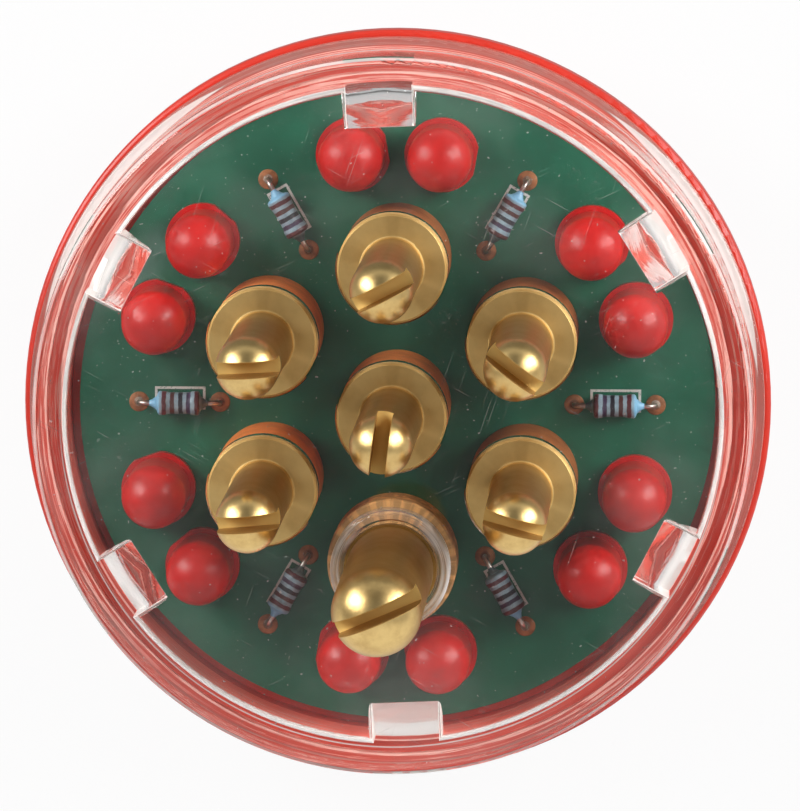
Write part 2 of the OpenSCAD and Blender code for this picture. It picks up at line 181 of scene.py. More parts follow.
class BrassSettings(bpy.types.PropertyGroup):
    """Finish of the turned pins."""

    bright: FloatVectorProperty(
        name="Bright brass", description="Colour of clean brass", subtype="COLOR", size=3,
        default=(0.88, 0.63, 0.26))
    # Colour of tarnished brass, also used for the painted fan sheen on the flat tops
    tarnish_and_sheen: FloatVectorProperty(
        name="Tarnish", description="Colour of tarnished brass", subtype="COLOR", size=3,
        default=(0.48, 0.28, 0.09))
    # Dark brown of the small pins under the plate: partly tarnish, partly painted shade
    hidden: FloatVectorProperty(
        name="Hidden brass", description="Colour of the small pins under the plate", subtype="COLOR", size=3,
        default=(0.3, 0.095, 0.02))
    flange: FloatVectorProperty(
        name="Flange", description="Colour of the ground pin under the plate", subtype="COLOR", size=3,
        default=(0.42, 0.22, 0.08))
    # The slots' sides are painted darker as shade and their floor lighter as light
    sawn: FloatVectorProperty(
        name="Sawn faces", description="Colour of the slots' sides", subtype="COLOR", size=3,
        default=(0.55, 0.32, 0.09))
    lit_slot_floor: FloatVectorProperty(
        name="Slot floor", description="Colour of the bright floor of the slots", subtype="COLOR", size=3,
        default=(0.85, 0.58, 0.19))
    shaft: FloatVectorProperty(
        name="Shaft", description="Colour of the handled shafts", subtype="COLOR", size=3,
        default=(0.41, 0.23, 0.066))
    groove: FloatProperty(
        name="Turning groove", description="Distance between turning marks", unit="LENGTH", default=0.11 * MM)


class LampSettings(bpy.types.PropertyGroup):
    """Finish of the red lamps."""

    colour: FloatVectorProperty(
        name="Lamp red", description="Colour of the diffused epoxy", subtype="COLOR", size=3,
        default=(0.5, 0.006, 0.004))
    glow_depth: FloatProperty(
        name="Scatter depth", description="How deep light goes into the epoxy", unit="LENGTH",
        default=0.8 * MM)


class ResistorSettings(bpy.types.PropertyGroup):
    """Shape and finish of the resistors."""

    body: FloatVectorProperty(
        name="Body", description="Colour of the lacquer", subtype="COLOR", size=3, default=(0.24, 0.35, 0.41))
    outer_end: FloatVectorProperty(
        name="Outer end", description="Colour of the end at the rim", subtype="COLOR", size=3,
        default=(0.18, 0.41, 0.6))
    inner_end: FloatVectorProperty(
        name="Inner end", description="Colour of the end at the middle", subtype="COLOR", size=3,
        default=(0.06, 0.1, 0.11))
    length: FloatProperty(name="Length", description="Length of a body", unit="LENGTH", default=3.4 * MM)
    skirt: FloatProperty(
        name="Skirt", description="Length of the lacquer that runs out along a lead", unit="LENGTH",
        default=0.6 * MM)
    cap_radius: FloatProperty(
        name="Cap radius", description="Radius over the end caps", unit="LENGTH", default=0.95 * MM)
    waist_radius: FloatProperty(
        name="Waist radius", description="Radius between the caps", unit="LENGTH", default=0.85 * MM)
    lead_radius: FloatProperty(
        name="Lead radius", description="Radius where the lacquer ends on a lead", unit="LENGTH",
        default=0.22 * MM)


class StageSettings(bpy.types.PropertyGroup):
    """Camera, floor and lights."""

    distance: FloatProperty(
        name="Distance", description="Camera distance from the board", unit="LENGTH", default=0.6)
    pitch: FloatProperty(
        name="Pitch", description="Turn of the object about the picture's X axis", subtype="ANGLE",
        default=math.radians(6.12))
    yaw: FloatProperty(
        name="Yaw", description="Turn of the object about its own Y axis", subtype="ANGLE",
        default=math.radians(-2.31))
    roll: FloatProperty(
        name="Roll", description="Turn of the object about its own Z axis", subtype="ANGLE",
        default=math.radians(-0.16))
    focal_px: FloatProperty(
        name="Focal length", description="Focal length in pixels of an 800 pixel wide picture",
        default=7668.0)
    softbox: FloatProperty(
        name="Softbox level", description="Brightness of the two softboxes as seen in a mirror", default=8.0)
    ambient: FloatProperty(
        name="Ambient level", description="Brightness of the room light on matt surfaces", default=0.15)
    far_side: FloatProperty(
        name="Far side", description="Brightness of the room behind the object in a mirror", default=0.1)
    near_side: FloatProperty(
        name="Near side", description="Brightness of the room in front of the object in a mirror",
        default=0.88)
    horizon: FloatProperty(
        name="Horizon", description="Brightness that the far horizon adds in a mirror", default=0.4)
    overhead: FloatProperty(
        name="Overhead", description="Brightness that the ceiling adds in a mirror", default=0.03)


class Wire:
    """A shader socket that is written like a number: each operator adds the Math node for it."""

    def __init__(self, nodes, socket):
        self.nodes = nodes
        self.socket = socket

    def math(self, operation, *others):
        """This value joined with others by one Math node."""
        return self.nodes.node("ShaderNodeMath", {"operation": operation}, dict(enumerate((self, *others))))

    def __add__(self, other):
        return self.math("ADD", other)

    __radd__ = __add__

    def __sub__(self, other):
        return self.math("SUBTRACT", other)

    def __rsub__(self, other):
        return self.nodes.node("ShaderNodeMath", {"operation": "SUBTRACT"}, {0: other, 1: self})

    def __mul__(self, other):
        return self.math("MULTIPLY", other)

    __rmul__ = __mul__

    def __truediv__(self, other):
        return self.math("DIVIDE", other)

    def __pow__(self, other):
        return self.math("POWER", other)

    def __abs__(self):
        return self.math("ABSOLUTE")

    def low(self, other):
        return self.math("MINIMUM", other)

    def high(self, other):
        return self.math("MAXIMUM", other)

    def soft(self, start, end):
        """Smooth step: 0 where this is at start, 1 at end, in either order."""
        settings = {"interpolation_type": "SMOOTHSTEP", "clamp": True}
        inputs = {"Value": self, "From Min": start, "From Max": end}
        return self.nodes.node("ShaderNodeMapRange", settings, inputs)


class Nodes:
    """A node tree with short ways to write patterns. Lengths in its patterns are millimetres."""

    def __init__(self, tree):
        self.tree = tree
        self.tree.nodes.clear()

    def node(self, kind, settings=None, inputs=None, out=0):
        """Add a node: first its settings, then its sockets' values or links. Gives one output as a Wire."""
        made = self.tree.nodes.new(kind)
        for key, value in (settings or {}).items():
            setattr(made, key, value)
        for key, value in (inputs or {}).items():
            socket = made.inputs[key]
            if isinstance(value, Wire):
                self.tree.links.new(value.socket, socket)
            else:
                socket.default_value = value
        return Wire(self, made.outputs[out]) if made.outputs else None

    def place(self, centre=(0, 0, 0)):
        """Object coordinates in millimetres, with the origin moved to centre (metres)."""
        coords = self.node("ShaderNodeTexCoord", out="Object")
        moved = self.node("ShaderNodeVectorMath", {"operation": "SUBTRACT"}, {0: coords, 1: tuple(centre)})
        return self.node("ShaderNodeVectorMath", {"operation": "SCALE"}, {0: moved, "Scale": 1 / MM})

    def parts(self, vector):
        """The three numbers of a vector."""
        made = self.tree.nodes.new("ShaderNodeSeparateXYZ")
        self.tree.links.new(vector.socket, made.inputs[0])
        return [Wire(self, s) for s in made.outputs]

    def join(self, x, y, z=0.0):
        return self.node("ShaderNodeCombineXYZ", None, {0: x, 1: y, 2: z})

    def noise(self, vector, size, detail=2.0, roughness=0.5):
        """Soft noise, 0 to 1, with features of about size millimetres."""
        return self.node("ShaderNodeTexNoise", None, {
            "Vector": vector, "Scale": 1 / size, "Detail": detail, "Roughness": roughness})

    def rings(self, place, length, width, detail=3.0):
        """Noise drawn out along circles round the axis: streaks of about that length and width."""
        x, y, z = self.parts(place)
        radius = (x * x + y * y) ** 0.5
        reach = FLANGE_RADIUS / length
        drawn_out = self.join(x / radius * reach, y / radius * reach, (radius + z) / width)
        return self.noise(drawn_out, 1.0, detail)

    def scratches(self, place, angle, length, width):
        """Noise drawn out along one direction of the plate, as thin lines of 0 to 1."""
        inputs = {"Vector": place, "Angle": angle}
        turned = self.node("ShaderNodeVectorRotate", {"rotation_type": "Z_AXIS"}, inputs)
        x, y, _ = self.parts(turned)
        return self.noise(self.join(x / length, y / width), 1.0, 1.0).soft(0.7, 0.78)

    def polar(self, x, y, start=0.0):
        """Distance from the axis, then the point along and across the nearest of six spokes."""
        radius = (x * x + y * y) ** 0.5
        turn = y.math("ARCTAN2", x) - start
        fold = turn - (turn / SIXTH).math("ROUND") * SIXTH
        return radius, radius * fold.math("COSINE"), radius * fold.math("SINE")

    def light_paths(self, *names):
        """1 where the ray is of one of the named kinds."""
        made = self.tree.nodes.new("ShaderNodeLightPath")
        wires = [Wire(self, made.outputs[n]) for n in names]
        seen = wires[0]
        for other in wires[1:]:
            seen = seen.high(other)
        return seen

    def mix(self, factor, a, b):
        """Colour a where factor is 0 and b where it is 1."""
        made = self.tree.nodes.new("ShaderNodeMix")
        made.data_type = "RGBA"
        for socket, value in ((made.inputs[0], factor), (made.inputs[6], a), (made.inputs[7], b)):
            if isinstance(value, Wire):
                self.tree.links.new(value.socket, socket)
            elif hasattr(value, "__len__"):
                socket.default_value = (*tuple(value)[:3], 1.0)
            else:
                socket.default_value = value
        return Wire(self, made.outputs[2])

    def bump(self, height, depth, normal=None):
        """Normal of a relief whose height of 0 to 1 is depth millimetres, on the face or a given normal."""
        inputs = {"Height": height, "Distance": depth * MM}
        if normal:
            inputs["Normal"] = normal
        return self.node("ShaderNodeBump", None, inputs)

    def turned_normal(self, place, inner):
        """The face's own slope pointed straight away from the axis, where it belongs to a turned surface.

        Outside the inner radius a face counts as turned if it leans hardly at all along the ring.
        """
        nx, ny, nz = self.parts(self.node("ShaderNodeNewGeometry", out="True Normal"))
        x, y, _ = self.parts(place)
        radius = (x * x + y * y) ** 0.5
        outward = (nx * x + ny * y) / radius
        along_ring = abs(ny * x - nx * y) / radius
        straight = self.join(x / radius * outward, y / radius * outward, nz)
        straight = self.node("ShaderNodeVectorMath", {"operation": "NORMALIZE"}, {0: straight})
        turned = along_ring.soft(0.06, 0.04) * radius.soft(inner - 0.1, inner)
        return self.mix(turned, self.node("ShaderNodeNewGeometry", out="Normal"), straight)

    def principled(self, colour, **sockets):
        """A Principled shader; sockets are named with underscores, such as Coat_Weight."""
        values = {key.replace("_", " "): value for key, value in sockets.items()}
        values["Base Color"] = colour if isinstance(colour, Wire) else (*tuple(colour)[:3], 1.0)
        return self.node("ShaderNodeBsdfPrincipled", None, values)

    def blend(self, factor, a, b):
        """Shader a where factor is 0 and b where it is 1."""
        return self.node("ShaderNodeMixShader", None, {0: factor, 1: a, 2: b})


class Finish(Nodes):
    """One node-based material."""

    def __init__(self, name):
        self.material = bpy.data.materials.new(name)
        self.material.use_nodes = True
        super().__init__(self.material.node_tree)

    def done(self, shader):
        """Connect the finished shader and hand over the material."""
        self.node("ShaderNodeOutputMaterial", None, {"Surface": shader})
        return self.material


def dress(node, material):
    """Put a material on a CAD node."""
    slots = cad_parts[node].data.materials
    slots.clear()
    slots.append(material)


def shade(colour, share):
    """A colour made darker or lighter by a factor."""
    return tuple(min(1.0, c * share) for c in colour)


def grid_faces(rows, columns):
    """Faces of a grid of points whose columns close into a ring: four neighbours make one face."""
    r, c = np.meshgrid(np.arange(rows - 1), np.arange(columns), indexing="ij")
    n = (c + 1) % columns
    corners = [r * columns + c, r * columns + n, (r + 1) * columns + n, (r + 1) * columns + c]
    return np.stack(corners, -1).reshape(-1, 4)


def lathe_points(profile, segments):
    """A profile of (radius, height) pairs carried round the Z axis in equal steps, as rows of points."""
    turn = np.arange(segments) * 2 * np.pi / segments
    radius, height = np.asarray(profile, float).T
    x = radius[:, None] * np.cos(turn)
    y = radius[:, None] * np.sin(turn)
    z = np.broadcast_to(height[:, None], x.shape)
    return np.stack([x, y, z], -1).reshape(-1, 3)


def make_piece(name, points, faces, material, replaced=()):
    """A smooth mesh piece at the origin that rides with the object."""
    mesh = bpy.data.meshes.new(name)
    mesh.from_pydata(points.tolist(), [], faces.tolist())
    mesh.shade_smooth()
    mesh.materials.append(material)
    piece = bpy.data.objects.new(name, mesh)
    bpy.context.scene.collection.objects.link(piece)
    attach(piece, BODY)
    if replaced:
        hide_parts(*replaced)
    return piece


def add_values(piece, name, values):
    """Give each point of a piece a number that its material reads."""
    attribute = piece.data.attributes.new(name, "FLOAT", "POINT")
    attribute.data.foreach_set("value", values.astype(np.float32))


class TESTER_OT_base(bpy.types.Operator):
    """Give the red base its moulded finish"""

    bl_idname = "tester.base"
    bl_label = "Red base"

    def execute(self, context):
        own = context.scene.tester_base
        skin = Finish("red_moulding")
        place = skin.place()
        cloud = skin.noise(place, 9.0, 3.0)
        grain = skin.noise(place, 0.22, 2.0)
        scuff = skin.noise(place, 1.6, 5.0, 0.7).soft(0.62, 0.75)
        colour = skin.mix(cloud.soft(0.3, 0.7), shade(own.colour, 0.85), own.colour)
        colour = skin.mix(scuff * 0.12, colour, own.scuff)
        rough = own.roughness + (grain - 0.5) * 0.12 + scuff * 0.15
        normal = skin.bump(grain, 0.012, skin.turned_normal(place, CAVITY_RADIUS))
        shader = skin.principled(colour, Roughness=rough, Normal=normal, Coat_Weight=0.2)
        dress("base", skin.done(shader))
        return {"FINISHED"}


class TESTER_OT_cover(bpy.types.Operator):
    """Give the clear cover its plastic, with pale edges and other painted highlights and reflections, creased
    gussets, and wear on the plate
    """

    bl_idname = "tester.cover"
    bl_label = "Clear cover"

    # Radius, height, reach and strength of each pale edge round the axis, a painted highlight, in millimetres
    EDGE_HIGHLIGHTS = [
        (COVER_RADIUS - 0.14, PLATE_FACE - 0.14, 0.22, 1.0),
        (COVER_RADIUS + 0.04, SEAM + 2.0, 0.18, 0.75),
        (CAVITY_RADIUS - 0.2, PLATE_UNDER - 0.2, 0.35, 0.75),
    ]
    # Radii of the pale lines in the glue, at both sides of the tongue, in millimetres
    SEAM_LINES = [CAVITY_RADIUS + 0.55, CAVITY_RADIUS + 1.65]
    # Turns from +X of the two painted highlights of the softboxes on the flange, in degrees
    SOFTBOX_GLINT_TURNS = [30.0, 143.0]
    # Share of each colour that a shadow ray keeps at a face of the plastic
    SHADOW_TINT = (0.95, 0.955, 0.95, 1.0)

    def execute(self, context):
        own = context.scene.tester_cover
        clear = Finish("clear_plastic")
        place = clear.place()
        x, y, z = clear.parts(place)
        radius, along, across = clear.polar(x, y, GUSSET_TURN)
        half = GUSSET_WIDTH / 2
        on_plate = z.soft(PLATE_FACE - 0.05, PLATE_FACE - 0.01)
        on_plate = on_plate * radius.soft(COVER_RADIUS, COVER_RADIUS - 0.8)
        on_gusset = z.soft(PLATE_UNDER - 0.02, PLATE_UNDER - 0.1)
        on_gusset = on_gusset * along.soft(CAVITY_RADIUS, CAVITY_RADIUS - 0.1)
        on_gusset = on_gusset * abs(across).soft(half + 0.1, half + 0.05)
        relief = self.relief(clear, own, place, radius, along, across, on_gusset)
        normal = clear.bump(relief, 1.0, clear.turned_normal(place, CAVITY_RADIUS - 0.5))
        glass = clear.principled(
            own.tint, Roughness=0.015, IOR=own.ior, Transmission_Weight=1.0, Normal=normal)
        dust_and_highlight = clear.principled(own.dust_and_highlight, Roughness=0.8)
        grime_and_sheen = self.grime_and_sheen(clear, own, place, radius) * on_plate
        inner_wall = abs(radius - CAVITY_RADIUS).soft(0.08, 0.03)
        near_wall = inner_wall * y.soft(4.0, -8.0)
        # Painted highlights along the gussets' side edges under the plate
        gusset_side_highlights = abs(abs(across) - half).soft(0.12, 0.04) * on_gusset * z.soft(PLATE_UNDER - 1, PLATE_UNDER)
        pale = self.edges(clear, place, radius, z).high(gusset_side_highlights).high(self.collar(clear, z))
        # Painted reflection: a pale haze on the upper part of the near inner wall
        pale = pale.high(near_wall * z.soft(PLATE_UNDER - 3.2, PLATE_UNDER - 1.2) * 0.8)
        # Painted highlights of the softboxes on the flange, and painted reflections at the gussets
        pale = pale.high(self.painted_flange_glints(x, y, z, radius)).high(self.painted_gusset_reflections(y, along) * on_gusset)
        # Glass covered by real wear on the plate and by the painted highlights and reflections
        worn = clear.blend(grime_and_sheen.high(pale * own.edges), glass, dust_and_highlight)
        # Red glue, and painted reflections of the red base
        red = self.red_glue_and_reflection(radius, z, inner_wall, near_wall)
        worn = clear.blend(red, worn, self.film(clear, own, place, radius, z, near_wall))
        open_glass = clear.node("ShaderNodeBsdfTransparent", None, {"Color": self.SHADOW_TINT})
        shader = clear.blend(clear.light_paths("Is Shadow Ray"), worn, open_glass)
        dress("cover", clear.done(shader))
        return {"FINISHED"}

    def relief(self, clear, own, place, radius, along, across, on_gusset):
        """Height of the surface: broad waves, flow lines round the wall, and a creased slope on each gusset.

        The crease is distance from the gusset's middle, with a share of the reach from its inner end added,
        times that reach.
        """
        side = (across * across + 0.01) ** 0.5
        reach = along - GUSSET_INNER
        crease = (side + reach * 0.3) * reach * own.crease
        ripple = clear.noise(place, 1.6, 2.0) * 0.008
        wave = clear.noise(place, 14.0, 1.0) * 0.02
        on_wall = radius.soft(CAVITY_RADIUS - 0.2, CAVITY_RADIUS + 0.1)
        flow = clear.rings(place, 9.0, 0.35, 2.0) * on_wall * 0.012
        return wave + flow + (crease + ripple) * on_gusset

    def red_glue_and_reflection(self, radius, z, inner_wall, near_wall):
        """Where the red shows: the glue on the foot and tongue, and a painted reflection of the red base on
        the inner wall, most on its near side, and at the flange's rim.
        """
        red = z.soft(SEAM + 0.12, SEAM + 0.06)
        # Painted reflection of the red base on the inner wall, strongest on the near side, and at the flange's
        # rim
        red = red.high(inner_wall * z.soft(SEAM + 4.5, SEAM + 2.0) * 0.75)
        red = red.high(near_wall * z.soft(PLATE_UNDER - 1.6, PLATE_UNDER - 3.0) * 0.92)
        return red.high(radius.soft(FLANGE_RADIUS - 0.1, FLANGE_RADIUS - 0.02) * 0.45)

    def film(self, clear, own, place, radius, z, near_wall):
        """The glue: red with pale streaks that follow the ring, and brown under the flange.

        Off the foot it is painted lighter against the shade of the groove and wall, and lightest on the near
        wall.
        """
        patches = clear.noise(place, 5.0, 3.0).soft(0.4, 0.65)
        pale = clear.rings(place, 40.0, 0.16).soft(0.52, 0.6) * (0.4 + patches * 0.5)
        wander = radius + (clear.noise(place, 6.0, 2.0) - 0.5) * 0.15
        for out in self.SEAM_LINES:
            pale = pale.high(abs(wander - out).soft(0.12, 0.05) * 0.9)
        under_flange = wander.soft(COVER_RADIUS - 0.05, COVER_RADIUS + 0.1)
        under_flange = under_flange * wander.soft(FLANGE_RADIUS - 0.15, FLANGE_RADIUS - 0.3)
        # Painted light: lighter copies of the glue off the foot, where the groove and inner wall lie in shade,
        # and lightest on the near wall
        brightened_off_foot = z.soft(SEAM - 0.05, SEAM - 0.2).high(z.soft(SEAM + 0.15, SEAM + 0.3))
        glue = clear.mix(brightened_off_foot, own.glue, shade(own.glue, 1.45))
        glue = clear.mix(near_wall * brightened_off_foot, glue, shade(own.glue, 1.95))
        colour = clear.mix(pale, glue, own.bubble)
        colour = clear.mix(under_flange * (0.6 + patches * 0.3), colour, own.corner)
        return clear.principled(colour, Roughness=0.5)

    def painted_gusset_reflections(self, y, along):
        """Painted reflections: pale outer ends of the gussets, all but the farthest, and the whole of the
        nearest one.
        """
        outer = along.soft(CAVITY_RADIUS - 1.5, CAVITY_RADIUS - 0.8) * y.soft(20.0, 16.0) * 0.75
        return outer.high(y.soft(-19.5, -21.5) * 0.85)

    def painted_flange_glints(self, x, y, z, radius):
        """Painted highlights of the softboxes: pale lens shapes along the flange, widest at each highlight's
        turn and tapered to both sides.
        """
        near = 0.0
        for turn in self.SOFTBOX_GLINT_TURNS:
            turn = math.radians(turn)
            near = ((x * math.cos(turn) + y * math.sin(turn)) / radius).soft(0.88, 0.99).high(near)
        flange = z.soft(SEAM + 2.1, SEAM + 1.8) * z.soft(SEAM + 1.2, SEAM + 1.38)
        inside = near * 0.45 - abs(radius - COVER_RADIUS - FLANGE_WIDTH / 2)
        return inside.soft(0.02, 0.14) * flange * 0.9

    def edges(self, clear, place, radius, z):
        """Painted highlights: pale lines where the distance to an edge circle is small, streaked along the
        ring.
        """
        streaks = clear.rings(place, 5.0, 0.12).soft(0.3, 0.7) * 0.5 + 0.5
        total = 0.0
        for out, height, size, strength in self.EDGE_HIGHLIGHTS:
            gap = ((radius - out) ** 2 + (z - height) ** 2) ** 0.5
            line = gap.soft(size, size * 0.5) * strength
            total = line.high(total)
        return total * streaks

    def collar(self, clear, z):
        """The collar's wall: painted highlight streaks round the ground pin, strongest at its left and right
        sides.
        """
        pin = box_middle("ground_pin")
        local = clear.place((pin.x, pin.y, 0))
        x, _, _ = clear.parts(local)
        sides = (abs(x) / COLLAR_RADIUS).soft(0.3, 0.95)
        streaks = clear.rings(local, 40.0, 0.16, 2.0).soft(0.4, 0.6)
        return z.soft(PLATE_FACE + 0.1, PLATE_FACE + 0.4) * (0.12 + sides * 0.25 + sides * streaks * 0.85)

    def grime_and_sheen(self, clear, own, place, radius):
        """How much of the plate is covered: smudges that are partly a painted reflection veil growing towards
        the rim, scratches in three directions, scuffs and specks.
        """
        # Smudges, partly real and partly a painted reflection veil, stronger towards the rim
        smudge_and_sheen = clear.noise(place, 11.0, 3.0, 0.55).soft(0.38, 0.68) * radius.soft(9.0, 22.0)
        scuff = clear.noise(place, 0.5, 4.0, 0.7).soft(0.58, 0.72)
        scuff = scuff * clear.noise(place, 5.0, 2.0).soft(0.6, 0.68)
        marks = clear.scratches(place, 0.5, 5.0, 0.1)
        for angle, length in ((1.9, 7.0), (2.7, 4.0)):
            marks = marks.high(clear.scratches(place, angle, length, 0.09))
        marks = marks * clear.noise(place, 7.0, 1.0).soft(0.45, 0.6)
        specks = clear.noise(place, 0.3, 1.0).soft(0.755, 0.79)
        worn = (marks * 0.7).high(specks).high(scuff * 0.6) * own.wear
        return (smudge_and_sheen * own.haze).high(worn)


class TESTER_OT_board(bpy.types.Operator):
    """Give the circuit board its lacquer and printed frames, and add its upper pads"""

    bl_idname = "tester.board"
    bl_label = "Circuit board"

    SEGMENTS = 32
    LEAD_PITCH = 6.35
    # How far the print is out of register, in millimetres
    PRINT_SHIFT = (0.05, 0.3)
    # Depth of a pad's foot in the board and bevel of its edges, in millimetres
    PAD_SUNK = 0.01
    PAD_BEVEL = 0.06
    # Heights over the pad of the solder's edge, shoulder and crown, in millimetres
    FILL_HEIGHTS = (0.02, 0.09, 0.1)
    # Radius of the solder's shoulder as a share of its own
    FILL_SHOULDER = 0.6

    def execute(self, context):
        own = context.scene.tester_board
        self.lacquer(own)
        self.pads(own)
        return {"FINISHED"}

    def lacquer(self, own):
        """Green lacquer with a printed frame round each resistor place, repeated every sixth of a turn."""
        board = Finish("green_lacquer")
        place = board.place()
        x, y, z = board.parts(place)
        _, along, across = board.polar(x - self.PRINT_SHIFT[0], y - self.PRINT_SHIFT[1])
        middle = math.hypot(*box_middle("resistor_6").xy) / MM
        past_ends = abs(along - middle) - own.frame_length / MM / 2
        past_sides = abs(across) - own.frame_width / MM / 2
        outside = past_ends.high(past_sides)
        line = own.line / MM / 2
        top = z.soft(BOARD_TOP - 0.05, BOARD_TOP - 0.02)
        worn = board.noise(place, 0.15, 2.0).soft(0.25, 0.45)
        ink = abs(outside).soft(line * 1.2, line * 0.8) * top * worn
        cloud = board.noise(place, 5.0, 3.0)
        weave = board.noise(place, 0.35, 2.0)
        fleck = board.noise(place, 0.25, 1.0).soft(0.74, 0.8)
        colour = board.mix(cloud.soft(0.3, 0.7), shade(own.lacquer, 0.75), own.lacquer)
        colour = board.mix((ink * 0.85).high(fleck * 0.3), colour, own.legend)
        rough = 0.34 + (weave - 0.5) * 0.2 + ink * 0.25
        shader = board.principled(colour, Roughness=rough, Normal=board.bump(weave + ink, 0.006))
        dress("circuit_board", board.done(shader))

    def pads(self, own):
        """Copper rings with a low dome of solder: a ring profile carried round each resistor hole."""
        foot = (BOARD_TOP - self.PAD_SUNK) * MM
        top = BOARD_TOP * MM + own.pad_height
        bevel = self.PAD_BEVEL * MM
        edge, shoulder, crown = [top + height * MM for height in self.FILL_HEIGHTS]
        profile = [
            (ON_AXIS, foot), (own.pad_radius, foot), (own.pad_radius, BOARD_TOP * MM),
            (own.pad_radius - bevel, top), (own.fill_radius + bevel, top), (own.fill_radius, edge),
            (own.fill_radius * self.FILL_SHOULDER, shoulder), (ON_AXIS, crown)]
        ring = lathe_points(profile, self.SEGMENTS)
        spots = np.array([box_middle(name)[:2] for name in RESISTORS])
        out = spots / np.linalg.norm(spots, axis=1, keepdims=True) * self.LEAD_PITCH / 2 * MM
        centres = np.concatenate([spots - out, spots + out])
        centres = np.column_stack([centres, np.zeros(len(centres))])
        points = (ring[None] + centres[:, None]).reshape(-1, 3)
        cells = grid_faces(len(profile), self.SEGMENTS)
        faces = (cells[None] + (np.arange(len(centres)) * len(ring))[:, None, None]).reshape(-1, 4)
        piece = make_piece("board_upper_pads", points, faces, self.bare_copper(own))
        reach = np.repeat([r for r, _ in profile], self.SEGMENTS) / MM
        add_values(piece, "reach", np.tile(reach, len(centres)))
        add_values(piece, "tinned", np.repeat(np.arange(len(centres)) >= len(spots), len(ring)))

    def bare_copper(self, own):
        """Stained copper with solder inside the fill radius: dark at inner pads, bright at outer ones."""
        bare = Finish("bare_copper")
        place = bare.place()
        stain = bare.noise(place, 0.5, 3.0)
        reach = bare.node("ShaderNodeAttribute", {"attribute_name": "reach"}, out="Fac")
        tinned = bare.node("ShaderNodeAttribute", {"attribute_name": "tinned"}, out="Fac")
        fill = own.fill_radius / MM
        filled = reach.soft(fill * 1.15, fill * 0.95)
        solder = bare.mix(tinned * stain.soft(0.3, 0.6), shade(own.copper, 0.4), (0.3, 0.25, 0.2))
        colour = bare.mix(stain.soft(0.35, 0.7), own.copper, shade(own.copper, 0.6))
        colour = bare.mix(filled, colour, solder)
        shader = bare.principled(
            colour, Metallic=0.35, Roughness=0.42 + stain * 0.2, Normal=bare.bump(stain, 0.01))
        return bare.done(shader)


class TESTER_OT_copper_and_solder(bpy.types.Operator):
    """Give the copper, solder and leads under the board their metal finishes"""

    bl_idname = "tester.copper_and_solder"
    bl_label = "Copper, solder and leads"

    def execute(self, context):
        copper = context.scene.tester_board.copper
        # Name, colour, roughness and share of metal of each node's finish
        finishes = {
            "copper_tracks": ("copper_foil", copper, 0.35, 0.8),
            "solder_joints": ("bright_solder", (0.62, 0.62, 0.6), 0.28, 1.0),
            "lamp_leads": ("tinned_lamp_wire", (0.6, 0.58, 0.55), 0.3, 1.0),
            "resistor_leads": ("tinned_resistor_wire", (0.6, 0.55, 0.5), 0.22, 1.0),
        }
        for node, (name, colour, rough, metal) in finishes.items():
            skin = Finish(name)
            stain = skin.noise(skin.place(), 0.6, 4.0)
            tone = skin.mix(stain.soft(0.4, 0.75), colour, shade(colour, 0.6))
            shader = skin.principled(
                tone, Metallic=metal, Roughness=rough + stain * 0.2, Normal=skin.bump(stain, 0.02))
            dress(node, skin.done(shader))
        return {"FINISHED"}


